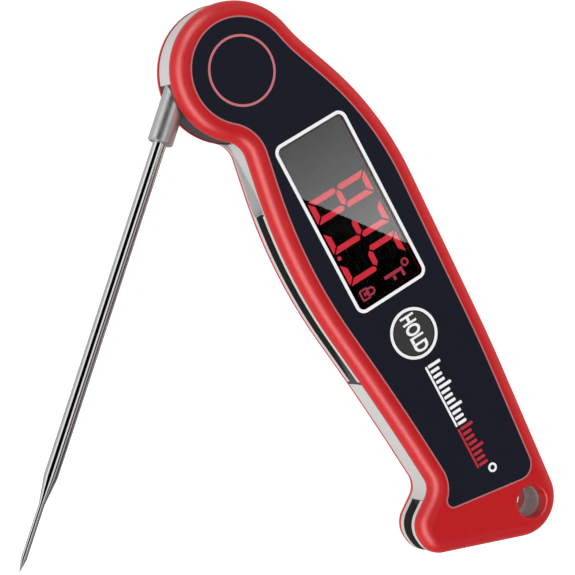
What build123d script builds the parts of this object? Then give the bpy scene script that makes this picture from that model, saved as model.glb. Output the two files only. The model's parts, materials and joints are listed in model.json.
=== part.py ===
"""Folding digital meat thermometer: a flat two-shell body with a display, and a probe on a turning hub.

The body lies on its back. X runs from the hub's axis to the tail, Y to the right of the display, and Z up
out of the display. The origin is where the hub's axis meets the back face.
"""
from build123d import *
from math import cos, radians, sin
import os

os.makedirs("parts", exist_ok=True)

# Driving dimensions, in millimetres and degrees. Heights are above the back face.
HEAD_R = 17.65
BODY_CORNERS = [
    (26.4, 29.64, 80), (92.7, 27.5, 390), (148.4, 23.3, 10.3), (132.8, -15.1, 5.8), (124.0, -16.2, 6.4),
    (117.9, -6.4, 4.8), (93.8, -8.3, 700), (50.3, -14.15, 136), (0, -4.85, 0), (-6.6, 15.5, 0),
]
LEFT_NECK_R = 6.2
RIGHT_NECK_R = 40
REAR_SPLIT_Z = 4.0
FRONT_SPLIT_Z = 11.8
TOP_Z = 16.0
EDGE_R = 3.6
WALL = 1.9
REAR_FLOOR_Z = 1.8
PANEL_INSET = 4.4
PANEL_Z = 14.8
PANEL_TAIL = ((125.5, -0.3), (128.9, 16.5))
PANEL_LOW_R = 1.7
PANEL_HIGH_R = 4.0
RIM_CHAMFER = 0.3
DECK_Z = 13.8
HOLE = (135.7, 15.6)
HOLE_R = 4.2
HOLE_WALL = 2.0
HOLE_EDGE_R = 0.8
GROOVE = (0.6, 1.3)
GROOVE_DEPTH = 0.5

HUB_R = 17.45
HUB_SEAT_R = 17.75
SEAT_WALL = 1.5
HUB_Z = (4.25, 11.55)
RIM_COVER_T = 1.1
RIM_COVER_ARC = (30, 252)
RUNNING_FIT = 0.05
AXLE_R = 4.0
AXLE_BORE_R = 2.2
AXLE_Z = (2.0, 13.0)
AXLE_FLANGE_R = 6.0
AXLE_FLANGE_TOP_Z = 14.2
NUT_R = 6.4
NUT_Z = (2.0, 3.8)
WASHER_R = (4.2, 7.2)
SEAL_R = (13.8, 15.0)
SEAL_DEPTH = 0.5
HUB_SCREWS = [90, 200, 340]
HUB_SCREW_RING = 10.0
HUB_SCREW_HEAD_Z = (4.45, 5.45)
HUB_SCREW_END_Z = 10.55
HEAD_RING_SKIN = 0.4

PROBE_Z = 8.0
PROBE_OFFSET = 11.76
PROBE_ANGLE = -49.1
COLLAR_R = 3.2
COLLAR_S = (3.0, 23.1)
TUBE_R = 1.75
TUBE_BORE_R = 1.4
CRIMP_R = 1.5
CRIMP_BORE_R = 1.2
TUBE_START_S = 5.0
TUBE_END_S = 109.1
TIP_TAPER = 7.0
TIP_POINT = 3.2
TIP_END_S = 133.1
TIP_PLUG = 3.0
POINT_R = 0.08
COLLAR_CHAMFER = 0.35
NEEDLE_R = 0.75
NEEDLE_BORE_R = 0.45
BEAD_S = (127.2, 129.0)
SLOT_Y = -9.6
SLOT_HALF = 2.3
SLOT_END_X = 160.0
POCKET = (35.0, -8.2, 3.35)
LEAD_R = 0.25
LEAD_RING_R = 7.0
LEAD_GAP = 0.2

DISPLAY = (44.79, 8.25)
LENS_SIZE = (46.4, 20.2)
OPENING_SIZE = (45.4, 19.4)
MODULE_SIZE = (49.0, 23.0)
GLASS_SIZE = (44.6, 18.6)
BEZEL_Z = 13.3
GLASS_Z = 14.75
LENS_Z = 15.95
LOCK = (80.14, 8.07)
LOCK_R = 5.75
LOCK_FLANGE_R = 6.5
LOCK_FLANGE_Z = (13.2, 13.7)
LOCK_TOP_Z = 16.1
LOCK_EDGE_R = 0.5
DOME_R = (3.2, 2.2)
DOME_T = 0.5
UNIT = (62.0, 8.0)
UNIT_R = 3.0
UNIT_FLANGE_R = 3.8
UNIT_FLANGE_Z = (1.85, 2.4)
UNIT_FACE_Z = 0.3
UNIT_EDGE_R = 0.4
UNIT_STEM_R = 1.2
UNIT_TOP_Z = 9.2
SWITCH_SIZE = (4.5, 4.5)
BUTTON_GAP = 0.2
BOARD_X = (20.3, 84.3)
BOARD_Y = (-3.2, 20.3)
BOARD_Z = (10.8, 12.0)
CHIP = (38.0, 8.0)
CHIP_SIZE = (9.0, 9.0)
PART_T = 1.0

SCREWS = [(30, 22.9), (40, -5.6), (80, 22.6), (77, -5.5), (121, 14.6), (127.6, -5.6)]
POST_R = 2.2
STANDOFF_R = 1.6
STANDOFF_Z = (4.05, 13.2)
SCREW_R = 1.0
SCREW_HEAD_R = 1.9
SCREW_HEAD_Z = (0.6, 1.8)
SCREW_END_Z = 11.0
CROSS = (2.2, 0.5)
THREAD_FIT = 0.02
SHANK_FIT = 0.1
CLEAR = 0.05
OVERLAP = 0.1
BATTERY_Y = 3.5
BATTERY_Z = 7.4
BATTERY_R = 5.25
BATTERY_X = (88.0, 131.5)
NUB_R = 2.7
NUB_X = 132.5
BAY_X = (85.4, 133.4)
BAY_HALF = 5.55
BAY_WALL = 1.0
TRAY_TOP_Z = 11.5
DOOR_X = (78.0, 134.8)
DOOR_HALF = 6.3
DOOR_GAP = 0.15
DOOR_T = 1.0
DOOR_SCREW = (81.2, 3.5)
DOOR_SCREW_END_Z = 3.5
DOOR_SEAL = (0.55, 0.5)
CONTACT_T = 0.4
CONTACT_HALF = 3.6
CONTACT_Z = (3.5, 11.3)
SPRING_R = 3.0
SPRING_WIRE_R = 0.25
SPRING_TURNS = 2.5
RETURN_Y = 9.7
RETURN_Z = 9.0
RETURN_X = 86.4
MAGNETS = [(31, 8), (46, 8)]
MAGNET_R = 4.0
MAGNET_Z = (1.0, 2.6)
WIRE_Z = 14.5
WIRE_R = 0.28
WIRE_DROP_X = 19.8
WIRE_BEND_R = 0.45


def fillet_corner(face, near, radius):
    """The face with its corner nearest to a point rounded."""
    corner = face.vertices().sort_by_distance(Vector(*near))[0]
    return fillet(corner, radius)


def body_outline():
    """The casing seen from the front: a round head, a narrow left neck and a flared tail."""
    points = [(x, y) for x, y, _ in BODY_CORNERS]
    radii = [radius for _, _, radius in BODY_CORNERS]
    body = make_face(FilletPolyline(*points, radius=radii, close=True))
    outline = Circle(HEAD_R) + body
    outline = fillet_corner(outline, (15.8, -7.8), LEFT_NECK_R)
    return fillet_corner(outline, (-1.8, 17.6), RIGHT_NECK_R)


def panel_outline(outline):
    """The inlay's edge: the casing's outline moved in, and cut off straight before the tail."""
    low, high = (Vector(*point) for point in PANEL_TAIL)
    reach = (high - low).normalized() * 30
    away = Vector(60, 0)
    corners = [low - reach, high + reach, high + reach + away, low - reach + away]
    face = offset(outline, -PANEL_INSET) - make_face(Polyline(*corners, close=True))
    face = fillet_corner(face, (PANEL_TAIL[1][0], 20), PANEL_HIGH_R)
    return offset(offset(face, -PANEL_LOW_R), PANEL_LOW_R)


def slab(face, low, high):
    """A face raised from one height to another."""
    return extrude(Pos(0, 0, low) * face, high - low)


def rod(centre, radius, low, high):
    """An upright round solid."""
    return slab(Pos(*centre) * Circle(radius), low, high)


def washer(centre, outer, inner, low, high):
    """An upright round solid with a bore."""
    return rod(centre, outer, low, high) - rod(centre, inner, low, high)


def block(x_range, y_range, z_range):
    """A square solid between two corners."""
    ranges = (x_range, y_range, z_range)
    size = [high - low for low, high in ranges]
    middle = [(low + high) / 2 for low, high in ranges]
    return Pos(*middle) * Box(*size)


def plate(centre, size, low, high, corner=1.2):
    """A flat rectangular solid with round corners."""
    return slab(Pos(*centre) * RectangleRounded(*size, corner), low, high)


def band(face, inner, outer, low, high):
    """A band that follows a face's edge, between two distances outside it."""
    return slab(offset(face, outer) - offset(face, inner), low, high)


def arc_band(outer, inner, arc, low, high):
    """Part of an upright tube on the hub's axis, between two directions."""
    start, end = arc
    steps = [start + (end - start) * step / 4 for step in range(5)]
    points = [Vector(cos(radians(angle)), sin(radians(angle))) * outer * 3 for angle in steps]
    wedge = make_face(Polyline(Vector(0, 0), *points, close=True))
    return slab((Circle(outer) - Circle(inner)) & wedge, low, high)


def probe_point(distance):
    """A point on the probe's centre line, measured from its nearest point to the hub's axis."""
    along = Vector(cos(radians(PROBE_ANGLE)), sin(radians(PROBE_ANGLE)))
    foot = Vector(sin(radians(PROBE_ANGLE)), -cos(radians(PROBE_ANGLE))) * PROBE_OFFSET
    return foot + along * distance + Vector(0, 0, PROBE_Z)


def probe_plane(distance):
    """A plane across the probe, facing its tip."""
    return Plane(probe_point(distance), z_dir=probe_point(1) - probe_point(0))


def probe_rod(radius, start, end):
    """A round solid along the probe's centre line."""
    return extrude(probe_plane(start) * Circle(radius), end - start)


def probe_cone(start_r, end_r, start, end):
    """A cone along the probe's centre line."""
    cone = Cone(start_r, end_r, end - start, align=(Align.CENTER, Align.CENTER, Align.MIN))
    return probe_plane(start) * cone


def round_hole(shell, low, high):
    """The shell with the hang hole's mouth rounded, between two heights."""
    mouth = []
    for edge in shell.edges():
        spots = [edge @ share for share in (0, 0.5, 1)]
        reach = [(Vector(spot.X, spot.Y) - Vector(*HOLE)).length for spot in spots]
        if max(abs(r - HOLE_R) for r in reach) < 0.01 and all(low < spot.Z < high for spot in spots):
            mouth.append(edge)
    return fillet(mouth, HOLE_EDGE_R)


def cavity_outline(outline):
    """The space inside the walls, clear of the hub's seat, the probe slot and the hang hole's wall."""
    face = offset(outline, -WALL)
    face -= Pos(-50, 0) * Rectangle(120, 200)
    face -= Circle(HUB_SEAT_R + SEAT_WALL)
    face -= Pos(50, SLOT_Y + SEAT_WALL - 50) * Rectangle(300, 100)
    face -= Pos(POCKET[0] + SEAT_WALL - 50, POCKET[1] + SEAT_WALL - 50) * Rectangle(100, 100)
    face -= Pos(*HOLE) * Circle(HOLE_R + HOLE_WALL)
    return face.faces().sort_by(SortBy.AREA)[-1]


def door_outline(grow):
    """The battery door seen from the back, made larger all round by a gap."""
    size = (DOOR_X[1] - DOOR_X[0] + 2 * grow, 2 * (DOOR_HALF + grow))
    return Pos((DOOR_X[0] + DOOR_X[1]) / 2, BATTERY_Y) * RectangleRounded(*size, 2.0)


def bay_outline(grow):
    """The battery's opening in the rear shell, made larger all round."""
    size = (BAY_X[1] - BAY_X[0] + 2 * grow, 2 * (BAY_HALF + grow))
    return Pos((BAY_X[0] + BAY_X[1]) / 2, BATTERY_Y) * RectangleRounded(*size, 1.0)


def lead_path():
    """The sensor leads' line: along the probe, then turning in to a ring round the axle."""
    turn_r = (PROBE_OFFSET + LEAD_RING_R) / 2
    inward = Vector(-sin(radians(PROBE_ANGLE)), cos(radians(PROBE_ANGLE)))
    back = probe_point(0) - probe_point(1)
    middle = probe_point(0) + inward * turn_r
    run = Line(probe_point(BEAD_S[0]), probe_point(0))
    turn = ThreePointArc(probe_point(0), middle + back * turn_r, middle + inward * turn_r)
    axis_point = Vector(0, 0, PROBE_Z)
    ring = ThreePointArc(turn @ 1, axis_point - back * LEAD_RING_R, axis_point - inward * LEAD_RING_R)
    return run + turn + ring


def lead(radius):
    """A round solid along the sensor leads' line."""
    start = Plane(probe_point(BEAD_S[0]), z_dir=probe_point(0) - probe_point(1))
    return sweep(start * Circle(radius), path=lead_path())


def make_front_shell(outline, panel, cavity):
    """The top casing: a rounded rim, a recess for the inlay, and a deck with the window and button holes."""
    shell = slab(outline, FRONT_SPLIT_Z, TOP_Z)
    shell = fillet(shell.edges().group_by(Axis.Z)[-1], EDGE_R)
    shell -= slab(panel, PANEL_Z, TOP_Z + 1)
    shell -= rod(HOLE, HOLE_R, 0, TOP_Z + 1)
    shell = round_hole(shell, FRONT_SPLIT_Z + 1, TOP_Z + 1)
    recess = shell.faces().sort_by(Axis.Z)[-1].inner_wires().sort_by(SortBy.LENGTH)[-1]
    shell = chamfer(recess.edges(), RIM_CHAMFER)
    shell -= slab(cavity, FRONT_SPLIT_Z - 1, DECK_Z)
    for spot in SCREWS:
        shell += rod(spot, POST_R, FRONT_SPLIT_Z, DECK_Z + OVERLAP)
        shell -= rod(spot, STANDOFF_R, 0, STANDOFF_Z[1])
    shell -= plate(DISPLAY, OPENING_SIZE, DECK_Z - 1, PANEL_Z + 1)
    shell -= rod(LOCK, LOCK_R + BUTTON_GAP, DECK_Z - 1, PANEL_Z + 1)
    shell -= rod((0, 0), AXLE_R + CLEAR, FRONT_SPLIT_Z - 1, PANEL_Z + 1)
    shell -= rod((0, 0), AXLE_FLANGE_R + CLEAR, AXLE_Z[1], PANEL_Z + 1)
    shell -= washer((0, 0), SEAL_R[1], SEAL_R[0], FRONT_SPLIT_Z - 1, FRONT_SPLIT_Z + SEAL_DEPTH)
    shell -= washer((0, 0), SEAL_R[0] - 1, WASHER_R[1] + 1, FRONT_SPLIT_Z - 1, DECK_Z - HEAD_RING_SKIN)
    shell -= block((0, WIRE_DROP_X), (-0.8, 0.8), (AXLE_FLANGE_TOP_Z, PANEL_Z + 1))
    shell -= rod((WIRE_DROP_X, 0), 0.5, FRONT_SPLIT_Z - 1, PANEL_Z + 1)
    return shell


def frame_layer(outline, cavity, low, high):
    """One of the grey rings stacked between the shells, with the hub's seat and room for the collar."""
    layer = slab(outline, low, high) - slab(cavity, low - 1, high + 1)
    layer -= rod((0, 0), HUB_SEAT_R, 0, TOP_Z)
    layer -= rod(HOLE, HOLE_R, 0, TOP_Z)
    pocket_end, pocket_y, pocket_half = POCKET
    return layer - block((0, pocket_end), (-40, pocket_y), (PROBE_Z - pocket_half, PROBE_Z + pocket_half))


def make_frame(outline, cavity):
    """The grey middle: a ring set in to make the probe's slot, between two bands that are the slot's lips."""
    slot_low, slot_high = PROBE_Z - SLOT_HALF, PROBE_Z + SLOT_HALF
    upper = frame_layer(outline, cavity, slot_high, FRONT_SPLIT_Z)
    upper -= band(cavity, *GROOVE, FRONT_SPLIT_Z - GROOVE_DEPTH, TOP_Z)
    yield "upper_band", upper.solids().sort_by(SortBy.VOLUME)[-1]
    ring = frame_layer(outline, cavity, slot_low, slot_high)
    ring -= block((0, SLOT_END_X), (-40, SLOT_Y), (0, TOP_Z))
    yield "mid_frame", ring.solids().sort_by(SortBy.VOLUME)[-1]
    lower = frame_layer(outline, cavity, REAR_SPLIT_Z, slot_low)
    lower -= band(cavity, *GROOVE, 0, REAR_SPLIT_Z + GROOVE_DEPTH)
    yield "lower_band", lower.solids().sort_by(SortBy.VOLUME)[-1]


def make_rear_shell(outline, cavity):
    """The back casing: a rounded edge, screw holes, the battery's opening and the magnets' pockets."""
    shell = slab(outline, 0, REAR_SPLIT_Z)
    shell = fillet(shell.edges().group_by(Axis.Z)[0], EDGE_R)
    shell -= rod(HOLE, HOLE_R, -1, TOP_Z)
    shell = round_hole(shell, -1, REAR_SPLIT_Z - 1)
    shell -= slab(cavity, REAR_FLOOR_Z, TOP_Z)
    for spot in SCREWS:
        shell += rod(spot, POST_R, REAR_FLOOR_Z - OVERLAP, REAR_SPLIT_Z)
        shell -= rod(spot, SCREW_HEAD_R + CLEAR, -1, SCREW_HEAD_Z[1])
        shell -= rod(spot, SCREW_R + SHANK_FIT, -1, TOP_Z)
    shell += rod(DOOR_SCREW, POST_R, REAR_FLOOR_Z - OVERLAP, REAR_SPLIT_Z)
    shell -= rod(DOOR_SCREW, SCREW_R + THREAD_FIT, 0, DOOR_SCREW_END_Z + 0.3)
    shell -= slab(door_outline(DOOR_GAP), -1, DOOR_T)
    shell -= slab(bay_outline(0), -1, REAR_FLOOR_Z + OVERLAP)
    shell -= slab(bay_outline(DOOR_SEAL[0]) - bay_outline(0), 0, DOOR_T + DOOR_SEAL[1])
    for spot in MAGNETS:
        shell -= rod(spot, MAGNET_R + CLEAR, MAGNET_Z[0], TOP_Z)
    shell -= rod(UNIT, UNIT_R + BUTTON_GAP, -1, TOP_Z)
    shell -= rod((0, 0), NUT_R + CLEAR, NUT_Z[0] - CLEAR, TOP_Z)
    shell -= washer((0, 0), SEAL_R[1], SEAL_R[0], REAR_SPLIT_Z - SEAL_DEPTH, TOP_Z)
    shell -= washer((0, 0), SEAL_R[0] - 1, WASHER_R[1] + 1, REAR_FLOOR_Z + HEAD_RING_SKIN, TOP_Z)
    return shell


def make_front_panel(panel):
    """The glossy inlay with the window and the button hole."""
    sheet = slab(offset(panel, -CLEAR), PANEL_Z, TOP_Z)
    sheet -= plate(DISPLAY, (LENS_SIZE[0] + 2 * CLEAR, LENS_SIZE[1] + 2 * CLEAR), 0, TOP_Z + 1)
    return sheet - rod(LOCK, LOCK_R + BUTTON_GAP, 0, TOP_Z + 1)


def make_display():
    """The window, its foam frame, and the display block with its raised glass."""
    gasket_hole = (OPENING_SIZE[0] - 0.4, OPENING_SIZE[1] - 0.4)
    yield "display_lens", plate(DISPLAY, LENS_SIZE, PANEL_Z, LENS_Z)
    foam = plate(DISPLAY, MODULE_SIZE, BEZEL_Z, DECK_Z) - plate(DISPLAY, gasket_hole, 0, TOP_Z)
    yield "display_gasket", foam
    glass = plate(DISPLAY, GLASS_SIZE, BEZEL_Z, GLASS_Z)
    yield "display_module", plate(DISPLAY, MODULE_SIZE, BOARD_Z[1], BEZEL_Z) + glass


def make_buttons():
    """Both push buttons, each with a flange that holds it in, and their switches on the board."""
    lock = rod(LOCK, LOCK_FLANGE_R, *LOCK_FLANGE_Z) + rod(LOCK, LOCK_R, LOCK_FLANGE_Z[0], LOCK_TOP_Z)
    lock = fillet(lock.edges().group_by(Axis.Z)[-1], LOCK_EDGE_R)
    yield "lock_button", lock
    dome = Pos(*LOCK, BOARD_Z[1]) * Cone(*DOME_R, DOME_T, align=(Align.CENTER, Align.CENTER, Align.MIN))
    yield "lock_switch", dome
    unit = rod(UNIT, UNIT_FLANGE_R, *UNIT_FLANGE_Z) + rod(UNIT, UNIT_R, UNIT_FACE_Z, UNIT_FLANGE_Z[1])
    unit = fillet(unit.edges().group_by(Axis.Z)[0], UNIT_EDGE_R)
    yield "unit_button", unit + rod(UNIT, UNIT_STEM_R, UNIT_FLANGE_Z[1], UNIT_TOP_Z)
    yield "unit_switch", plate(UNIT, SWITCH_SIZE, BOARD_Z[0] - PART_T, BOARD_Z[0], 0.4)


def make_board():
    """The circuit board with its processor, and the wires that come to it through the axle."""
    board = block(BOARD_X, BOARD_Y, BOARD_Z)
    yield "circuit_board", board
    yield "main_chip", plate(CHIP, CHIP_SIZE, BOARD_Z[0] - PART_T, BOARD_Z[0], 0.3)
    board_mid_z = (BOARD_Z[0] + BOARD_Z[1]) / 2
    stops = [(0, 0, PROBE_Z), (0, 0, WIRE_Z), (WIRE_DROP_X, 0, WIRE_Z), (WIRE_DROP_X, 0, board_mid_z)]
    path = FilletPolyline(*stops, (BOARD_X[0], 0, board_mid_z), radius=WIRE_BEND_R)
    yield "wire_harness", sweep(Pos(0, 0, PROBE_Z) * Circle(WIRE_R), path=path)


def make_battery():
    """The AAA cell in its tray, its two contacts, and the lead from the far contact to the board."""
    ends = (BAY_X[0] - BAY_WALL, BAY_X[1] + BAY_WALL)
    low_y, high_y = BATTERY_Y - BAY_HALF, BATTERY_Y + BAY_HALF
    tray = block(ends, (low_y - BAY_WALL, high_y), (REAR_FLOOR_Z, TRAY_TOP_Z))
    yield "battery_tray", tray - block(BAY_X, (low_y, high_y + 1), (0, TOP_Z))
    axis = Plane((0, BATTERY_Y, BATTERY_Z), x_dir=(0, 1, 0), z_dir=(1, 0, 0))
    cell = axis * Pos(0, 0, BATTERY_X[0]) * extrude(Circle(BATTERY_R), BATTERY_X[1] - BATTERY_X[0])
    cell = fillet(cell.edges(), 0.5)
    yield "battery", cell + axis * Pos(0, 0, BATTERY_X[1]) * extrude(Circle(NUB_R), NUB_X - BATTERY_X[1])
    side = (BATTERY_Y - CONTACT_HALF, BATTERY_Y + CONTACT_HALF)
    far = block((NUB_X, NUB_X + CONTACT_T), side, CONTACT_Z)
    yield "battery_plate_contact", far
    near = block((BAY_X[0], BAY_X[0] + CONTACT_T), side, CONTACT_Z)
    spring_x = BAY_X[0] + CONTACT_T + SPRING_WIRE_R
    length = BATTERY_X[0] - SPRING_WIRE_R - spring_x
    coil = axis * Pos(0, 0, spring_x) * Helix(length / SPRING_TURNS, length, SPRING_R)
    wire = sweep(Plane(coil @ 0, z_dir=coil % 0) * Circle(SPRING_WIRE_R), path=coil)
    yield "battery_spring_contact", near + wire
    board_mid_z = (BOARD_Z[0] + BOARD_Z[1]) / 2
    lead_x = NUB_X + CONTACT_T / 2
    stops = [(lead_x, side[1], RETURN_Z), (lead_x, RETURN_Y, RETURN_Z), (RETURN_X, RETURN_Y, RETURN_Z)]
    stops += [(RETURN_X, RETURN_Y, board_mid_z), (BOARD_X[1], RETURN_Y, board_mid_z)]
    path = FilletPolyline(*stops, radius=WIRE_BEND_R)
    start = Plane(Vector(*stops[0]), z_dir=(0, 1, 0))
    yield "battery_lead", sweep(start * Circle(CONTACT_T / 2), path=path)


def make_battery_door():
    """The door in the back, its seal and its captive screw."""
    door = slab(door_outline(0), 0, DOOR_T) + slab(bay_outline(-DOOR_GAP), DOOR_T, REAR_FLOOR_Z)
    door -= rod(DOOR_SCREW, SCREW_R + SHANK_FIT, -1, TOP_Z)
    door -= rod(DOOR_SCREW, SCREW_HEAD_R + CLEAR, -1, DOOR_T / 2)
    yield "battery_door", door
    yield "battery_door_seal", slab(bay_outline(DOOR_SEAL[0]) - bay_outline(0), DOOR_T, DOOR_T + DOOR_SEAL[1])
    yield "battery_door_screw", make_screw(DOOR_SCREW, (0.05, DOOR_T / 2), DOOR_SCREW_END_Z)


def make_screw(spot, head_z, end_z):
    """A pan-head screw with a cross recess, its head at the back."""
    screw = rod(spot, SCREW_HEAD_R, *head_z) + rod(spot, SCREW_R, head_z[1], end_z)
    for size in (CROSS, CROSS[::-1]):
        screw -= slab(Pos(*spot) * Rectangle(*size), head_z[0] - 1, (head_z[0] + head_z[1]) / 2)
    return screw


def make_pivot():
    """What the hub turns on: a hollow axle, its nut, two washers and two seals, all held by the shells."""
    axle = rod((0, 0), AXLE_R, *AXLE_Z) + rod((0, 0), AXLE_FLANGE_R, AXLE_Z[1], AXLE_FLANGE_TOP_Z)
    yield "pivot_axle", axle - rod((0, 0), AXLE_BORE_R, 0, TOP_Z)
    nut = extrude(Pos(0, 0, NUT_Z[0]) * RegularPolygon(NUT_R, 6), NUT_Z[1] - NUT_Z[0])
    yield "pivot_nut", nut - rod((0, 0), AXLE_R, 0, TOP_Z)
    gaps = ((REAR_SPLIT_Z, HUB_Z[0]), (HUB_Z[1], FRONT_SPLIT_Z))
    yield "hub_washers", Compound([washer((0, 0), WASHER_R[1], WASHER_R[0], *gap) for gap in gaps])
    lower = washer((0, 0), SEAL_R[1], SEAL_R[0], REAR_SPLIT_Z - SEAL_DEPTH, HUB_Z[0])
    upper = washer((0, 0), SEAL_R[1], SEAL_R[0], HUB_Z[1], FRONT_SPLIT_Z + SEAL_DEPTH)
    yield "hub_seals", Compound([lower, upper])


def make_hub():
    """The turning hub: two halves that clamp the collar and the leads, screws, and a rim cover."""
    disc = rod((0, 0), HUB_R, *HUB_Z) - rod((0, 0), AXLE_R + RUNNING_FIT, 0, TOP_Z)
    disc -= probe_rod(COLLAR_R, COLLAR_S[0], COLLAR_S[1])
    disc -= lead(LEAD_R + LEAD_GAP)
    cover = arc_band(HUB_R, HUB_R - RIM_COVER_T, RIM_COVER_ARC, *HUB_Z)
    cover -= probe_rod(COLLAR_R, COLLAR_S[0], COLLAR_S[1])
    disc -= arc_band(HUB_R + 1, HUB_R - RIM_COVER_T, RIM_COVER_ARC, *HUB_Z)
    spots = [(HUB_SCREW_RING * cos(radians(a)), HUB_SCREW_RING * sin(radians(a))) for a in HUB_SCREWS]
    screws = [make_screw(spot, HUB_SCREW_HEAD_Z, HUB_SCREW_END_Z) for spot in spots]
    for spot in spots:
        disc -= rod(spot, SCREW_R + THREAD_FIT, HUB_Z[0], HUB_SCREW_END_Z + 0.2)
        disc -= rod(spot, SCREW_HEAD_R + CLEAR, 0, HUB_SCREW_HEAD_Z[1])
    lower_half = block((-50, 50), (-50, 50), (0, PROBE_Z))
    yield "hub_base", disc & lower_half
    yield "hub_cap", disc - lower_half
    yield "hub_rim_cover", cover
    yield "hub_screws", Compound(screws)


def make_probe():
    """The probe: collar, tube, needle tip, temperature bead and leads."""
    collar = probe_rod(COLLAR_R, *COLLAR_S)
    collar = chamfer(collar.edges().sort_by(Axis.Y)[0], COLLAR_CHAMFER)
    yield "probe_collar", collar - probe_rod(CRIMP_R, TUBE_START_S, TIP_END_S) - lead(LEAD_R + LEAD_GAP)
    tube = probe_rod(CRIMP_R, TUBE_START_S, COLLAR_S[1]) + probe_rod(TUBE_R, COLLAR_S[1], TUBE_END_S)
    tube -= probe_rod(CRIMP_BORE_R, 0, TIP_END_S)
    yield "probe_tube", tube - probe_rod(TUBE_BORE_R, COLLAR_S[1] + TUBE_R - TUBE_BORE_R, TIP_END_S)
    needle_s = TUBE_END_S + TIP_TAPER
    point_s = TIP_END_S - TIP_POINT
    tip = probe_rod(TUBE_BORE_R - THREAD_FIT, TUBE_END_S - TIP_PLUG, TUBE_END_S)
    tip += probe_cone(TUBE_R, NEEDLE_R, TUBE_END_S, needle_s) + probe_rod(NEEDLE_R, needle_s, point_s)
    tip += probe_cone(NEEDLE_R, POINT_R, point_s, TIP_END_S)
    yield "probe_tip", tip - probe_rod(NEEDLE_BORE_R, TUBE_END_S - TIP_PLUG - 1, BEAD_S[1])
    yield "thermistor_bead", probe_rod(NEEDLE_BORE_R - THREAD_FIT, *BEAD_S)
    yield "sensor_leads", lead(LEAD_R)


def make_casing():
    """The shells, frame, inlay, gaskets, screws and magnets."""
    outline = body_outline()
    panel = panel_outline(outline)
    cavity = cavity_outline(outline)
    yield "front_shell", make_front_shell(outline, panel, cavity)
    yield from make_frame(outline, cavity)
    yield "rear_shell", make_rear_shell(outline, cavity)
    yield "front_panel", make_front_panel(panel)
    yield "front_gasket", band(cavity, *GROOVE, FRONT_SPLIT_Z - GROOVE_DEPTH, FRONT_SPLIT_Z)
    yield "rear_gasket", band(cavity, *GROOVE, REAR_SPLIT_Z, REAR_SPLIT_Z + GROOVE_DEPTH)
    yield "housing_screws", Compound([make_screw(spot, SCREW_HEAD_Z, SCREW_END_Z) for spot in SCREWS])
    standoffs = [rod(spot, STANDOFF_R, *STANDOFF_Z) for spot in SCREWS]
    bores = [rod(spot, SCREW_R + THREAD_FIT, 0, SCREW_END_Z + 0.5) for spot in SCREWS]
    yield "screw_standoffs", Compound([standoff - bore for standoff, bore in zip(standoffs, bores)])
    yield "back_magnets", Compound([rod(spot, MAGNET_R, *MAGNET_Z) for spot in MAGNETS])


for maker in (make_casing, make_display, make_buttons, make_board, make_battery, make_battery_door,
              make_pivot, make_hub, make_probe):
    for name, solid in maker():
        export_step(solid, f"parts/{name}.step")
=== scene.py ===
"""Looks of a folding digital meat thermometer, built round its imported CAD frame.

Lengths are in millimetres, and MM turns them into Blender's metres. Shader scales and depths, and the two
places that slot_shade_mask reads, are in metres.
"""
import json
from math import atan2, cos, hypot, pi, radians, sin
import bmesh
import bpy
from mathutils import Matrix, Vector


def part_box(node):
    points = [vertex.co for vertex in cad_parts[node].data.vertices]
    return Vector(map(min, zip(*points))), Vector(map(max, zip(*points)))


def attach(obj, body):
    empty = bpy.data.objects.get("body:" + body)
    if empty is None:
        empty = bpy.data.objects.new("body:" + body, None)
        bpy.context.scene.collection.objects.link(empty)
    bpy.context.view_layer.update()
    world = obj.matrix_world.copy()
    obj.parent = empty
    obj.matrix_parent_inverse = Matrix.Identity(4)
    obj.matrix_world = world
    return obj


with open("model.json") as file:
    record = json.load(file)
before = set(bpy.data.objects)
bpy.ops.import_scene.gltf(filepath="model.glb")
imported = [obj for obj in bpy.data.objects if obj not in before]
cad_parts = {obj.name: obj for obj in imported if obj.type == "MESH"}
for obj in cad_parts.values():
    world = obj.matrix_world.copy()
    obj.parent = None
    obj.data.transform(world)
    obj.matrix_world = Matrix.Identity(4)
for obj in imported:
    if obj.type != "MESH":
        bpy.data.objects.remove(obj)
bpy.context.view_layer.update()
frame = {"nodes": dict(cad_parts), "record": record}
nodes = frame["nodes"]
MM = 0.001


# ---------------------------------------------------------------- places read from the frame

def middle(node):
    """The centre of a CAD node's box, in millimetres."""
    low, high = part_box(node)
    return (low + high) / 2 / MM


def half_size(node):
    """Half the size of a CAD node's box, in millimetres."""
    low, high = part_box(node)
    return (high - low) / 2 / MM


WINDOW = middle("display_lens")
WINDOW_HALF = half_size("display_lens")
BUTTON = middle("lock_button")
BUTTON_HALF = half_size("lock_button")
PANEL_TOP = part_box("front_panel")[1].z / MM
BUTTON_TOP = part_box("lock_button")[1].z / MM
GLASS_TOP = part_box("display_module")[1].z / MM
LENS_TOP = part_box("display_lens")[1].z / MM
SLOT_WALL_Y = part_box("mid_frame")[0].y  # the probe slot's back wall, in metres
POCKET_END_X = 0.0352  # where the collar's pocket ends and the slot begins, in metres
PROBE_ANGLE = atan2(*reversed((middle("probe_tip") - middle("probe_tube")).xy))


# ---------------------------------------------------------------- shader graphs

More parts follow.
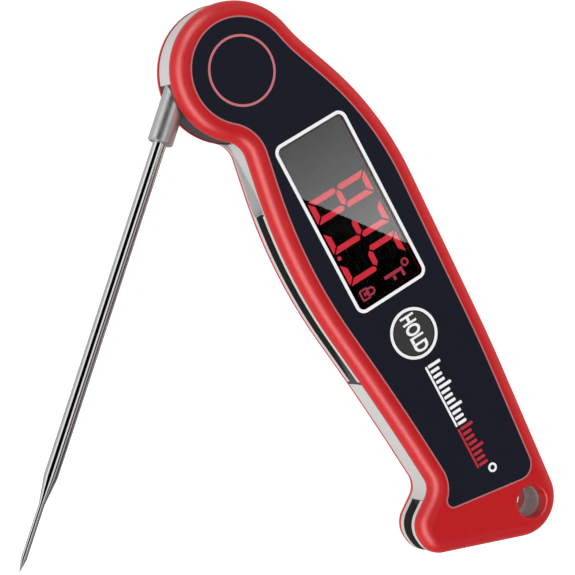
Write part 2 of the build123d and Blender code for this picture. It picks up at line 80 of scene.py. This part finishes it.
class Graph:
    """A node tree, with short calls for its nodes."""

    def __init__(self, tree):
        self.tree = tree

    def plug(self, node, values):
        """Sets or links a node's inputs, by name or by number."""
        for name, value in values.items():
            if isinstance(value, bpy.types.NodeSocket):
                self.tree.links.new(value, node.inputs[name])
            else:
                node.inputs[name].default_value = value

    def add(self, kind, values=None, **settings):
        """A new node."""
        node = self.tree.nodes.new(kind)
        for name, value in settings.items():
            setattr(node, name, value)
        self.plug(node, values or {})
        return node

    def spread(self, value, low, high, start=0.3, end=0.7):
        """A value moved from one range to another and kept in it."""
        values = {"Value": value, "From Min": start, "From Max": end, "To Min": low, "To Max": high}
        return self.add("ShaderNodeMapRange", values).outputs["Result"]

    def ramp(self, value, *stops, steps=False):
        """Colours along a value."""
        node = self.add("ShaderNodeValToRGB", {"Fac": value})
        node.color_ramp.interpolation = "CONSTANT" if steps else "LINEAR"
        while len(node.color_ramp.elements) < len(stops):
            node.color_ramp.elements.new(0.5)
        for element, (position, colour) in zip(node.color_ramp.elements, stops):
            element.position = position
            element.color = (*colour, 1.0)
        return node.outputs["Color"]

    def maths(self, operation, *values):
        """One sum, on as many values as it takes."""
        return self.add("ShaderNodeMath", dict(enumerate(values)), operation=operation).outputs[0]


class Look(Graph):
    """A material, with short calls for its textures."""

    def __init__(self, name, values):
        self.material = bpy.data.materials.new(name)
        self.material.use_nodes = True
        super().__init__(self.material.node_tree)
        self.surface = self.tree.nodes["Principled BSDF"]
        coordinates = self.add("ShaderNodeTexCoord")
        self.place = coordinates.outputs["Object"]
        self.normal = coordinates.outputs["Normal"]
        self.set(values)

    def set(self, values):
        """Sets or links the surface's inputs."""
        self.plug(self.surface, values)

    def stretched(self, scale, turn=0.0):
        """The object's own coordinates, turned about Z and then scaled along each axis."""
        turned = self.add("ShaderNodeMapping", {"Vector": self.place, "Rotation": (0, 0, turn)})
        wide = self.add("ShaderNodeMapping", {"Vector": turned.outputs[0], "Scale": scale})
        return wide.outputs[0]

    def noise(self, scale, detail=2.0, roughness=0.5, vector=None):
        """Cloudy noise, about 0 to 1."""
        values = {"Vector": vector or self.place, "Scale": scale, "Detail": detail, "Roughness": roughness}
        return self.add("ShaderNodeTexNoise", values).outputs["Fac"]

    def cells(self, scale):
        """The distance to the nearest of scattered points."""
        return self.add("ShaderNodeTexVoronoi", {"Vector": self.place, "Scale": scale}).outputs["Distance"]

    def blend(self, mask, first, second):
        """One colour where a mask is 0 and another where it is 1."""
        factor, colour_a, colour_b, result = 0, 6, 7, 2  # by number: other sockets have the same names
        node = self.add("ShaderNodeMix", data_type="RGBA")
        self.plug(node, {factor: mask, colour_a: first, colour_b: (*second, 1.0)})
        return node.outputs[result]

    def axis(self, name, vector=None):
        """One coordinate of a vector, or else of the object's own place."""
        return self.add("ShaderNodeSeparateXYZ", {"Vector": vector or self.place}).outputs[name]

    def bump(self, height, depth, strength=1.0, normal=None):
        """Relief of a given depth in metres."""
        values = {"Height": height, "Distance": depth, "Strength": strength}
        if normal:
            values["Normal"] = normal
        return self.add("ShaderNodeBump", values).outputs["Normal"]


def shade(colour, factor):
    """A colour made lighter or darker."""
    return tuple(min(1.0, part * factor) for part in colour[:3])


def slot_shade_mask(look):
    """1 on the faces round the probe's slot, past the collar's pocket, and 0 elsewhere: where the slot's
    recess gets painted shade.
    """
    steep, near = 0.5, 5e-5
    flat = look.maths("GREATER_THAN", look.maths("ABSOLUTE", look.axis("Z", look.normal)), steep)
    reach = look.maths("ABSOLUTE", look.maths("SUBTRACT", look.axis("Y"), SLOT_WALL_Y))
    back = look.maths("LESS_THAN", reach, near)
    past_pocket = look.maths("GREATER_THAN", look.axis("X"), POCKET_END_X)
    return look.maths("MULTIPLY", look.maths("MAXIMUM", flat, back), past_pocket)


def moulded(name, colour, roughness, grain=4200, depth=1.2e-5, variation=0.06, specular=0.5, slot_shade=None):
    """Moulded plastic or rubber: a spark-eroded grain, soft flow clouds and a slightly uneven gloss. Where
    a slot shade colour is given, the faces round the probe's slot take it as painted shade for the slot's
    recess."""
    look = Look(name, {"Specular IOR Level": specular})
    clouds = look.noise(38, 3)
    speck_share = 0.35
    tone = look.maths("MULTIPLY_ADD", look.noise(grain * 0.5, 2, 0.6), speck_share, clouds)
    stops = (0.35, shade(colour, 1 - variation)), (0.95, shade(colour, 1 + variation))
    pits = look.noise(grain, 3, 0.55)
    fine = look.bump(look.noise(grain * 1.7, 2, 0.65), depth * 0.6, 0.6)
    base = look.ramp(tone, *stops)
    look.set({
        "Base Color": look.blend(slot_shade_mask(look), base, slot_shade) if slot_shade else base,
        "Roughness": look.spread(look.noise(grain * 0.12, 4), roughness - 0.035, roughness + 0.045),
        "Normal": look.bump(pits, depth, 0.5, fine),
    })
    return look.material


def worked_metal(name, colour, roughness, along, across, turn=0.0, depth=1.5e-6):
    """Steel or brass with the fine lines of drawing, turning or rolling, and a few light scuffs."""
    look = Look(name, {"Metallic": 1.0})
    lines = look.noise(1.0, 4, 0.6, look.stretched((along, across, across), turn))
    patches = look.noise(55, 3)
    scuffs = look.noise(420, 5, 0.7)
    wear = look.maths("ADD", lines, scuffs)
    look.set({
        "Base Color": look.ramp(patches, (0.3, shade(colour, 0.94)), (0.7, shade(colour, 1.04))),
        "Roughness": look.spread(wear, roughness * 0.7, roughness * 1.35, 0.7, 1.3),
        "Normal": look.bump(lines, depth, 0.7),
    })
    return look.material


def inlay_film():
    """The dark inlay: an almost smooth printed film, with a trace of orange peel and dust-fine specks."""
    look = Look("black_inlay", {"Specular IOR Level": 0.14})
    specks = look.noise(5200, 2, 0.7)
    peel = look.noise(420, 2, 0.4)
    look.set({
        "Base Color": look.ramp(specks, (0.25, (0.0082, 0.0092, 0.0168)), (0.8, (0.0112, 0.0124, 0.0218))),
        "Roughness": look.spread(look.noise(160, 3), 0.30, 0.38),
        "Normal": look.bump(specks, 2.0e-6, 0.5, look.bump(peel, 4.0e-6, 0.35)),
    })
    return look.material


def window_glass():
    """The clear window: polished acrylic with the faintest wiping marks in its tint."""
    look = Look("clear_window", {
        "Transmission Weight": 1.0,
        "IOR": 1.49,
        "Roughness": 0.0,
    })
    marks = look.noise(1.0, 4, 0.7, look.stretched((60, 900, 900), radians(25)))
    look.set({"Base Color": look.ramp(marks, (0.3, (0.996, 0.996, 0.996)), (0.7, (1.0, 1.0, 1.0)))})
    return look.material


def display_face():
    """The display block: near-black glass over a dark backing with a faint cell grid."""
    look = Look("display_glass", {"Specular IOR Level": 0.1})
    rows = look.add("ShaderNodeTexBrick", {
        "Vector": look.place,
        "Color1": (0.0032, 0.0028, 0.0034, 1.0),
        "Color2": (0.0040, 0.0034, 0.0040, 1.0),
        "Mortar": (0.0012, 0.0012, 0.0014, 1.0),
        "Scale": 400.0,
        "Mortar Size": 0.03,
    })
    look.set({
        "Base Color": rows.outputs["Color"],
        "Roughness": look.spread(look.noise(200, 3), 0.12, 0.2),
    })
    return look.material


def lit(name, colour, strength, ripple=0.12):
    """A lit part of the display, a little brighter along its middle patches."""
    look = Look(name, {"Base Color": (*shade(colour, 0.3), 1.0), "Roughness": 0.4})
    look.set({
        "Emission Color": look.ramp(look.noise(500, 2), (0.3, shade(colour, 1 - ripple)), (0.7, colour)),
        "Emission Strength": strength,
    })
    return look.material


def ink_and_painted_highlight(name, colour, roughness=0.42):
    """Screen-printed ink, and also the painted highlight line along the chamfer round the inlay: a dense
    coat with pinholes and a slightly uneven edge-to-edge tone.
    """
    look = Look(name, {"Specular IOR Level": 0.35})
    pinholes = look.cells(2600)
    look.set({
        "Base Color": look.ramp(look.noise(900, 3), (0.3, shade(colour, 0.93)), (0.7, colour)),
        "Roughness": look.spread(look.noise(700, 2), roughness - 0.05, roughness + 0.06),
        "Normal": look.bump(pinholes, 3.0e-6, 0.3),
    })
    return look.material


def circuit_mask():
    """Green solder mask over copper tracks, with bare pads."""
    look = Look("board_green", {"Specular IOR Level": 0.5})
    tracks = look.add("ShaderNodeTexBrick", {
        "Vector": look.place,
        "Color1": (0.014, 0.105, 0.040, 1.0),
        "Color2": (0.018, 0.125, 0.048, 1.0),
        "Mortar": (0.030, 0.185, 0.062, 1.0),
        "Scale": 190.0,
        "Mortar Size": 0.035,
        "Brick Width": 0.8,
        "Row Height": 0.22,
    })
    pad_mask = look.spread(look.cells(420), 1.0, 0.0, 0.10, 0.13)
    look.set({
        "Base Color": look.blend(pad_mask, tracks.outputs["Color"], (0.62, 0.50, 0.26)),
        "Metallic": pad_mask,
        "Roughness": look.spread(look.noise(900, 2), 0.25, 0.38),
        "Normal": look.bump(tracks.outputs["Fac"], 3.0e-5, 0.6),
    })
    return look.material


def cell_sleeve():
    """The battery's shrunk sleeve: a dark body, a copper band and a bare steel end, by place along it."""
    low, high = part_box("battery")
    look = Look("cell_label", {"Specular IOR Level": 0.55})
    along = look.spread(look.axis("X"), 0.0, 1.0, low.x, high.x)
    dark, copper, steel = (0.014, 0.015, 0.018), (0.55, 0.26, 0.10), (0.60, 0.60, 0.58)
    line, bare, coated, foil = (0.5, 0.5, 0.5), (1, 1, 1), (0, 0, 0), (0.8, 0.8, 0.8)
    stops = (0.0, steel), (0.018, dark), (0.66, line), (0.675, copper), (0.94, dark), (0.965, steel)
    metal = (0.0, bare), (0.018, coated), (0.675, foil), (0.94, coated), (0.965, bare)
    look.set({
        "Base Color": look.ramp(along, *stops, steps=True),
        "Metallic": look.ramp(along, *metal, steps=True),
        "Roughness": look.spread(look.noise(600, 3), 0.2, 0.34),
        "Normal": look.bump(look.noise(500, 2), 6.0e-6, 0.4),
    })
    return look.material


RED = (0.52, 0.0048, 0.0080)
LIGHT_GREY = (0.50, 0.50, 0.49)
# painted shade: the dark colour laid in the probe slot's recess, standing for its shadow
SLOT_PAINTED_SHADE = (0.035, 0.035, 0.036)
STEEL = (0.80, 0.80, 0.80)
SATIN_STEEL = (0.78, 0.78, 0.775)
RUBBER = (0.036, 0.036, 0.037)
FOAM = (0.030, 0.030, 0.030)
ALONG_PROBE = -PROBE_ANGLE
LOOKS = {
    "red_plastic": moulded("red_plastic", RED, 0.318, 3600, 2.2e-6, variation=0.03, specular=0.36),
    "black_inlay": inlay_film(),
    "clear_window": window_glass(),
    "grey_plastic": moulded("grey_plastic", LIGHT_GREY, 0.42, grain=3000, depth=1.0e-5, slot_shade=SLOT_PAINTED_SHADE),
    "dark_plastic": moulded("dark_plastic", (0.030, 0.030, 0.033), 0.45),
    "button_rubber": moulded("button_rubber", RUBBER, 0.55, grain=2600, depth=1.6e-5, specular=0.3),
    "seal_rubber": moulded("seal_rubber", (0.020, 0.020, 0.022), 0.6, specular=0.3),
    "foam": moulded("foam", FOAM, 0.85, grain=1800, depth=8.0e-5, variation=0.3, specular=0.1),
    "display_glass": display_face(),
    "board_green": circuit_mask(),
    "component_black": moulded("component_black", (0.022, 0.022, 0.023), 0.5, grain=5200),
    "switch_metal": worked_metal("switch_metal", (0.62, 0.62, 0.61), 0.28, 900, 5000),
    "stainless_polished": worked_metal("stainless_polished", STEEL, 0.075, 60, 7000, ALONG_PROBE, 1.0e-7),
    "stainless_satin": worked_metal("stainless_satin", SATIN_STEEL, 0.40, 9000, 500, ALONG_PROBE, 2.0e-6),
    "zinc_screw": worked_metal("zinc_screw", (0.58, 0.58, 0.56), 0.26, 2500, 2500),
    "spring_steel": worked_metal("spring_steel", (0.62, 0.62, 0.60), 0.24, 3500, 700),
    "brass": worked_metal("brass", (0.66, 0.46, 0.18), 0.22, 600, 6000),
    "nylon": moulded("nylon", (0.72, 0.71, 0.67), 0.4),
    "magnet_nickel": worked_metal("magnet_nickel", (0.60, 0.59, 0.56), 0.2, 1500, 1500),
    "cell_label": cell_sleeve(),
    "wire_insulation": moulded("wire_insulation", (0.42, 0.035, 0.03), 0.4, grain=5000),
    "epoxy": moulded("epoxy", (0.05, 0.05, 0.05), 0.25),
}
for part in frame["record"]["subparts"]:
    nodes[part["node"]].material_slots[0].material = LOOKS[part["material_slot"]]

WHITE_INK = ink_and_painted_highlight("white_ink", (0.95, 0.94, 0.95))
RED_INK = ink_and_painted_highlight("red_ink", (0.52, 0.020, 0.035))
LINE_INK = ink_and_painted_highlight("line_ink", (0.60, 0.17, 0.20))
# painted highlight: a light pink coat that stands for the highlight on the shell's chamfer round the inlay
HIGHLIGHT_PAINT = ink_and_painted_highlight("chamfer_highlight_paint", (0.47, 0.165, 0.180))
DIGIT_LIGHT = lit("digit_light", (0.66, 0.020, 0.042), 0.92)
ICON_LIGHT = lit("icon_light", (0.36, 0.030, 0.055), 1.0)


# ---------------------------------------------------------------- printed and lit pieces

def thin_piece(name, plates, low, high, material):
    """Flat shapes raised between two heights, as one closed mesh that rides on the housing. Each plate is
    an outline and, for a band, its inner outline with as many points."""
    mesh = bmesh.new()
    for outer, inner in plates:
        rings = []
        for outline in filter(None, (outer, inner)):
            for height in (high, low):
                rings.append([mesh.verts.new((x * MM, y * MM, height * MM)) for x, y in outline])
        count = len(outer)
        pairs = [(i, (i + 1) % count) for i in range(count)]
        for i, j in pairs:
            mesh.faces.new((rings[0][i], rings[1][i], rings[1][j], rings[0][j]))
        if inner is None:
            mesh.faces.new(rings[0])
            mesh.faces.new(reversed(rings[1]))
            continue
        for i, j in pairs:
            mesh.faces.new((rings[2][i], rings[2][j], rings[3][j], rings[3][i]))
            mesh.faces.new((rings[0][i], rings[0][j], rings[2][j], rings[2][i]))
            mesh.faces.new((rings[1][j], rings[1][i], rings[3][i], rings[3][j]))
    bmesh.ops.recalc_face_normals(mesh, faces=mesh.faces)
    data = bpy.data.meshes.new(name)
    mesh.to_mesh(data)
    mesh.free()
    data.materials.append(material)
    piece = bpy.data.objects.new(name, data)
    bpy.context.scene.collection.objects.link(piece)
    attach(piece, "housing")


def circle(centre, radius, count=96):
    """Points round a circle."""
    steps = [2 * pi * i / count for i in range(count)]
    return [(centre[0] + radius * cos(a), centre[1] + radius * sin(a)) for a in steps]


def rounded_box(centre, half, corner, count=12):
    """Points round a rectangle with round corners."""
    points = []
    for quarter, (sx, sy) in enumerate(((1, 1), (-1, 1), (-1, -1), (1, -1))):
        cx = centre[0] + sx * (half[0] - corner)
        cy = centre[1] + sy * (half[1] - corner)
        for step in range(count + 1):
            angle = (quarter + step / count) * pi / 2
            points.append((cx + corner * cos(angle), cy + corner * sin(angle)))
    return points


def box_band(centre, half, corner, width):
    """A band of some width about a round-cornered rectangle."""
    grow = width / 2
    outer = rounded_box(centre, (half[0] + grow, half[1] + grow), corner + grow)
    return outer, rounded_box(centre, (half[0] - grow, half[1] - grow), corner - grow)


def ring_band(centre, radius, width):
    """A band of some width about a circle."""
    return circle(centre, radius + width / 2), circle(centre, radius - width / 2)


def top_edge(node, height):
    """The longest edge loop of a CAD node's flat face at a height, as points in millimetres."""
    mesh = bmesh.new()
    mesh.from_mesh(nodes[node].data)
    bmesh.ops.remove_doubles(mesh, verts=mesh.verts, dist=1e-6)
    flat = {f for f in mesh.faces if all(abs(v.co.z / MM - height) < 0.01 for v in f.verts)}
    rim = [e for e in mesh.edges if sum(f in flat for f in e.link_faces) == 1]
    follow = {}
    for edge in rim:
        for vert in edge.verts:
            follow.setdefault(vert, []).append(edge.other_vert(vert))
    loops = []
    left = set(follow)
    while left:
        vert = min(left, key=lambda v: v.index)
        loop = []
        while vert:
            loop.append((vert.co.x / MM, vert.co.y / MM))
            left.discard(vert)
            vert = next((v for v in follow[vert] if v in left), None)
        loops.append(loop)
    mesh.free()
    return max(loops, key=lambda loop: sum(hypot(a[0] - b[0], a[1] - b[1]) for a, b in zip(loop, loop[1:])))


def shifted(loop, distance):
    """A closed loop moved inwards by a distance."""
    count = len(loop)
    area = sum(loop[i - 1][0] * loop[i][1] - loop[i][0] * loop[i - 1][1] for i in range(count))
    side = 1 if area > 0 else -1
    moved = []
    for i, (x, y) in enumerate(loop):
        (ax, ay), (bx, by) = loop[i - 1], loop[(i + 1) % count]
        length = hypot(bx - ax, by - ay)
        moved.append((x - side * (by - ay) / length * distance, y + side * (bx - ax) / length * distance))
    return moved


INK_HALF = 0.02
INK_LOW = PANEL_TOP - INK_HALF
INK_HIGH = PANEL_TOP + INK_HALF
# Painted highlight: a thin light pink band laid over the shell's chamfer round the inlay, in place of the
# chamfer's own highlight.
edge = top_edge("front_panel", PANEL_TOP)
HIGHLIGHT_BAND_WIDTH = 0.36
HIGHLIGHT_BAND_LAP = 0.02
highlight_band = shifted(edge, -HIGHLIGHT_BAND_WIDTH), shifted(edge, HIGHLIGHT_BAND_LAP)
thin_piece("painted_chamfer_line", [highlight_band], INK_LOW, INK_HIGH, HIGHLIGHT_PAINT)

HEAD_RING = (8.67, 0.62)  # its radius and its width, as of every ring below
thin_piece("head_ring_print", [ring_band((0, 0), *HEAD_RING)], INK_LOW, INK_HIGH, LINE_INK)

FRAME_MARGIN = 0.45
FRAME_WIDTH = 0.88
FRAME_CORNER = 2.0
frame_half = (WINDOW_HALF.x + FRAME_MARGIN, WINDOW_HALF.y + FRAME_MARGIN)
frame_plate = box_band(WINDOW, frame_half, FRAME_CORNER, FRAME_WIDTH)
thin_piece("display_frame_print", [frame_plate], INK_LOW, INK_HIGH, WHITE_INK)

BUTTON_RING_INSET = 0.2
BUTTON_RING_WIDTH = 0.8
button_ring = ring_band(BUTTON, BUTTON_HALF.x - BUTTON_RING_INSET, BUTTON_RING_WIDTH)
thin_piece("button_ring_print", [button_ring], INK_LOW, INK_HIGH, WHITE_INK)

# A graduated scale runs along the inlay's tail: white, then red, then an end mark.
SCALE_START = BUTTON.x + 9.6
SCALE_STEP = 1.55
SCALE_Y = BUTTON.y - 0.9
WHITE_TICKS = 12
RED_TICKS = 8
TALL_TICK = 3.9
SHORT_TICK = 2.7
TICK_HALF = 0.42
TICK_CORNER = 0.25
LINE_DROP = 0.55
LINE_HALF = 0.3
LINE_CORNER = 0.2
END_RING = (0.95, 0.6)
SMALL_ARC = 4  # how many steps make a small corner's arc


def tick(index):
    """One mark of the scale: every fourth is taller."""
    height = TALL_TICK if index % 4 == 0 else SHORT_TICK
    centre = (SCALE_START + index * SCALE_STEP, SCALE_Y + height / 2)
    return rounded_box(centre, (TICK_HALF, height / 2), TICK_CORNER, SMALL_ARC), None


def base_line(first, last):
    """The line under a run of marks."""
    start = SCALE_START + first * SCALE_STEP - TICK_HALF
    end = SCALE_START + last * SCALE_STEP + TICK_HALF
    centre = ((start + end) / 2, SCALE_Y - LINE_DROP)
    return rounded_box(centre, ((end - start) / 2, LINE_HALF), LINE_CORNER, SMALL_ARC), None


white_part = [tick(i) for i in range(WHITE_TICKS)] + [base_line(0, WHITE_TICKS - 1)]
last_tick = WHITE_TICKS + RED_TICKS
red_part = [tick(i) for i in range(WHITE_TICKS, last_tick)] + [base_line(WHITE_TICKS, last_tick - 1)]
end_mark = (SCALE_START + last_tick * SCALE_STEP + 0.9, SCALE_Y + 3.0)
white_part.append(ring_band(end_mark, *END_RING))
thin_piece("scale_print_white", white_part, INK_LOW, INK_HIGH, WHITE_INK)
thin_piece("scale_print_red", red_part, INK_LOW, INK_HIGH, RED_INK)

WORD_HEIGHT = 5.6
WORD_WEIGHT = 0.17
WORD_THICKNESS = 0.02
WORD_WIDTH = 10.2


def button_word():
    """The generic word on the button, as a thin raised print that moves with it."""
    curve = bpy.data.curves.new("button_word", "FONT")
    curve.body = "HOLD"
    curve.align_x = "CENTER"
    curve.align_y = "CENTER"
    curve.size = WORD_HEIGHT * MM
    curve.offset = WORD_WEIGHT * MM
    curve.extrude = WORD_THICKNESS * MM
    curve.resolution_u = 6
    text = bpy.data.objects.new("button_word_curve", curve)
    bpy.context.scene.collection.objects.link(text)
    bpy.context.view_layer.update()
    data = bpy.data.meshes.new_from_object(text.evaluated_get(bpy.context.evaluated_depsgraph_get()))
    bpy.data.objects.remove(text)
    width = max(v.co.x for v in data.vertices) - min(v.co.x for v in data.vertices)
    data.transform(Matrix.Diagonal((WORD_WIDTH * MM / width, 1.0, 1.0, 1.0)))
    data.transform(Matrix.Translation(Vector((BUTTON.x, BUTTON.y, BUTTON_TOP)) * MM))
    data.materials.clear()
    data.materials.append(WHITE_INK)
    piece = bpy.data.objects.new("button_word", data)
    bpy.context.scene.collection.objects.link(piece)
    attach(piece, "lock_button")


button_word()

DIGIT_SIZE = (6.45, 17.9)
STROKE = 1.55
SEGMENT_GAP = 0.32
DIGIT_LOW = WINDOW.y - 9.2
DIGIT_LEFTS = (WINDOW.x - 7.65, WINDOW.x + 0.95, WINDOW.x + 10.0)
LIGHT_LOW = GLASS_TOP - 0.01
LIGHT_HIGH = GLASS_TOP + 0.02


def segments(left):
    """The seven bars of a digit, by name, from its left edge."""
    width, height = DIGIT_SIZE
    half, gap = height / 2, SEGMENT_GAP
    near, far = STROKE + gap, width - STROKE - gap
    above, below = half + STROKE / 2, half - STROKE / 2
    top = [(gap, height), (width - gap, height), (far, height - STROKE), (near, height - STROKE)]
    upper = [(0, height - gap), (STROKE, height - STROKE - gap), (STROKE, above + gap),
             (STROKE / 2, half + gap), (0, above)]
    centre = [(STROKE / 2 + gap, half), (near, above), (far, above),
              (width - STROKE / 2 - gap, half), (far, below), (near, below)]
    bars = {
        "top": top,
        "upper_left": upper,
        "upper_right": [(width - x, y) for x, y in upper],
        "middle": centre,
        "lower_left": [(x, height - y) for x, y in upper],
        "lower_right": [(width - x, height - y) for x, y in upper],
        "bottom": [(x, height - y) for x, y in top],
    }
    return {name: [(left + x, DIGIT_LOW + y) for x, y in bar] for name, bar in bars.items()}


EIGHT = ("top", "upper_left", "upper_right", "middle", "lower_left", "lower_right", "bottom")
THREE = ("top", "upper_right", "middle", "lower_right", "bottom")
FIVE = ("top", "upper_left", "middle", "lower_right", "bottom")
lit_bars = []
for left, shown in zip(DIGIT_LEFTS, (EIGHT, THREE, FIVE)):
    bars = segments(left)
    lit_bars += [(bars[name], None) for name in shown]
POINT_RADIUS = 0.55
point_place = (DIGIT_LEFTS[2] - 1.3, DIGIT_LOW + 0.85)
lit_bars.append((circle(point_place, POINT_RADIUS, 24), None))
thin_piece("display_digits", lit_bars, LIGHT_LOW, LIGHT_HIGH, DIGIT_LIGHT)

ICON_X = WINDOW.x + 19.0
DEGREE_RING = (0.85, 0.55)


def icon_bar(dx, dy, half):
    """A bar of a sign, at a place from the signs' left edge and the window's centre line."""
    corner, steps = 0.15, 3
    return rounded_box((ICON_X + dx, WINDOW.y + dy), half, corner, steps), None


degree = ring_band((ICON_X - 0.6, WINDOW.y + 7.0), *DEGREE_RING)
stem = icon_bar(0.35, 2.85, (0.45, 2.9))
arms = [icon_bar(1.65, 5.35, (0.75, 0.42)), icon_bar(1.6, 2.6, (0.6, 0.42))]
unit_sign = [degree, stem, *arms]
thin_piece("display_unit_sign", unit_sign, LIGHT_LOW, LIGHT_HIGH, ICON_LIGHT)

# The lock sign is an outlined body, a keyhole in it and a loop above.
lock_middle, body_middle, loop_middle = 1.1, -6.75, -5.0
lock_body = box_band((ICON_X + lock_middle, WINDOW.y + body_middle), (1.3, 1.1), 0.35, 0.5)
lock_loop = box_band((ICON_X + lock_middle, WINDOW.y + loop_middle), (0.85, 1.1), 0.8, 0.55)
keyhole = icon_bar(lock_middle, body_middle, (0.5, 0.3))
hold_sign = [lock_body, keyhole, lock_loop]
thin_piece("display_hold_sign", hold_sign, LIGHT_LOW, LIGHT_HIGH, ICON_LIGHT)


# ---------------------------------------------------------------- camera, floor, world and lights

FOCAL_LENGTH = 144.5
SENSOR_WIDTH = 36.0
CAMERA = Vector((-62.7, -208.0, 544.8))
CAMERA_RIGHT = Vector((0.46138, 0.79716, 0.38945))
CAMERA_UP = Vector((-0.86423, 0.50305, -0.00583))
CAMERA_BACK = Vector((-0.20056, -0.33389, 0.92103))


def make_camera():
    """The camera, at the photograph's viewing angle."""
    data = bpy.data.cameras.new("camera")
    data.sensor_width = SENSOR_WIDTH
    data.lens = FOCAL_LENGTH
    data.clip_start = 0.01
    data.clip_end = 20.0
    camera = bpy.data.objects.new("camera", data)
    bpy.context.scene.collection.objects.link(camera)
    turn = Matrix((CAMERA_RIGHT, CAMERA_UP, CAMERA_BACK)).transposed()
    camera.matrix_world = Matrix.Translation(CAMERA * MM) @ turn.to_4x4()
    bpy.context.scene.camera = camera


def stage_plane(name, corners, material):
    """A flat staged shape through some points, in millimetres."""
    data = bpy.data.meshes.new(name)
    data.from_pydata([Vector(corner) * MM for corner in corners], [], [range(len(corners))])
    data.materials.append(material)
    plane = bpy.data.objects.new(name, data)
    bpy.context.scene.collection.objects.link(plane)
    return plane


def make_floor():
    """A plain white floor that glows like a light table."""
    look = Look("floor_paper", {"Specular IOR Level": 0.0, "Roughness": 0.9, "Emission Strength": 0.8})
    dull, bright = (0.49, 0.49, 0.49), (0.51, 0.51, 0.51)
    look.set({
        "Base Color": look.ramp(look.noise(6, 2), (0.3, dull), (0.7, bright)),
        "Emission Color": (1, 1, 1, 1),
    })
    reach = 4000
    corners = [(-reach, -reach, 0), (reach, -reach, 0), (reach, reach, 0), (-reach, reach, 0)]
    stage_plane("floor", corners, look.material).visible_glossy = False


def mirrored(x, y, height):
    """The point at a height that the camera sees reflected at a place on the window."""
    share = (height - LENS_TOP) / (CAMERA.z - LENS_TOP)
    return x + (x - CAMERA.x) * share, y + (y - CAMERA.y) * share, height


def make_glare_card():
    """A grey card above, whose slanted edge shows as the glare across the window."""
    look = Look("glare_card", {"Base Color": (0, 0, 0, 1)})
    height = 600
    start = mirrored(WINDOW.x - WINDOW_HALF.x, WINDOW.y, height)
    end = mirrored(WINDOW.x + 6, WINDOW.y, height)
    along = look.spread(look.axis("X"), 0.0, 1.0, start[0] * MM, end[0] * MM)
    dim, middling, full = (0.36, 0.36, 0.36), (0.56, 0.56, 0.56), (1, 1, 1)
    look.set({
        "Emission Color": look.ramp(along, (0.0, dim), (0.45, middling), (1.0, full)),
        "Emission Strength": 2.9,
    })
    spare = 0.5
    head_end = WINDOW.x - WINDOW_HALF.x - spare
    left, right = WINDOW.y - WINDOW_HALF.y - spare, WINDOW.y + WINDOW_HALF.y + spare
    slant_left, slant_right = WINDOW.x - 10.4, WINDOW.x + 15.6
    spots = [(head_end, left), (slant_left, left), (slant_right, right), (head_end, right)]
    card = stage_plane("glare_card", [mirrored(x, y, height) for x, y in spots], look.material)
    card.visible_camera = False
    card.visible_diffuse = False
    card.visible_shadow = False


AIM = (50, 0, 10)


def make_softbox(name, place, size, power, shiny_on=None):
    """A soft light that the camera doesn't see. It makes highlights on the pieces of one collection, or
    else lights everything and makes none."""
    data = bpy.data.lights.new(name, "AREA")
    data.shape = "RECTANGLE"
    data.size = size[0] * MM
    data.size_y = size[1] * MM
    data.energy = power
    light = bpy.data.objects.new(name, data)
    bpy.context.scene.collection.objects.link(light)
    light.location = Vector(place) * MM
    light.rotation_euler = (Vector(AIM) - Vector(place)).to_track_quat("-Z", "Y").to_euler()
    light.visible_camera = False
    light.visible_glossy = shiny_on is not None
    light.visible_diffuse = shiny_on is None
    if shiny_on:
        light.light_linking.receiver_collection = shiny_on


BAND_ACROSS = (0.7558, 0.6548, 0.0)
BANDS = [  # degrees from overhead, across the probe, and how bright
    (-180, 0.5), (-102, 0.5), (-96, 1.0), (-72, 1.0), (-66, 0.0), (-16, 0.0), (-11, 0.9), (11, 0.9),
    (14, 0.0), (30, 0.0), (33, 0.4), (54, 0.4), (60, 0.05), (90, 0.05), (98, 0.25), (180, 0.25),
]
ZENITH = 0.30
HORIZON = 1.4


def make_world():
    """A white studio, dimmer overhead; what shines reflects long strip lights that run along the probe."""
    world = bpy.data.worlds.new("studio")
    bpy.context.scene.world = world
    world.use_nodes = True
    graph = Graph(world.node_tree)
    direction = graph.add("ShaderNodeTexCoord").outputs["Generated"]
    height = graph.add("ShaderNodeSeparateXYZ", {0: direction}).outputs["Z"]
    plain = world.node_tree.nodes["Background"]
    graph.plug(plain, {"Color": (1, 1, 1, 1), "Strength": graph.spread(height, HORIZON, ZENITH, 0.0, 1.0)})
    across = graph.add("ShaderNodeVectorMath", {0: direction, 1: BAND_ACROSS}, operation="DOT_PRODUCT")
    angle = graph.maths("ARCTAN2", across.outputs["Value"], height)
    stops = [((degrees + 180) / 360, (level, level, level)) for degrees, level in BANDS]
    bands = graph.ramp(graph.spread(angle, 0.0, 1.0, -pi, pi), *stops)
    strips = graph.add("ShaderNodeBackground", {"Color": bands})
    path = graph.add("ShaderNodeLightPath").outputs
    shiny = graph.maths("MAXIMUM", path["Is Glossy Ray"], path["Is Transmission Ray"])
    mix = graph.add("ShaderNodeMixShader", {0: shiny, 1: plain.outputs[0], 2: strips.outputs[0]})
    graph.plug(world.node_tree.nodes["World Output"], {"Surface": mix.outputs[0]})


make_camera()
make_floor()
make_glare_card()
make_world()
shells = bpy.data.collections.new("glossy_shells")
for node in ("front_shell", "rear_shell"):
    shells.objects.link(nodes[node])
make_softbox("left_glow", (0, -500, 335), (1250, 370), 10.0, shells)
make_softbox("head_glow", (-500, -44, 335), (367, 367), 3.0, shells)
make_softbox("left_fill", (120, -500, 340), (900, 150), 1.7)
make_softbox("right_fill", (60, 560, 120), (900, 240), 2.6)
bpy.context.scene.view_settings.view_transform = "Standard"
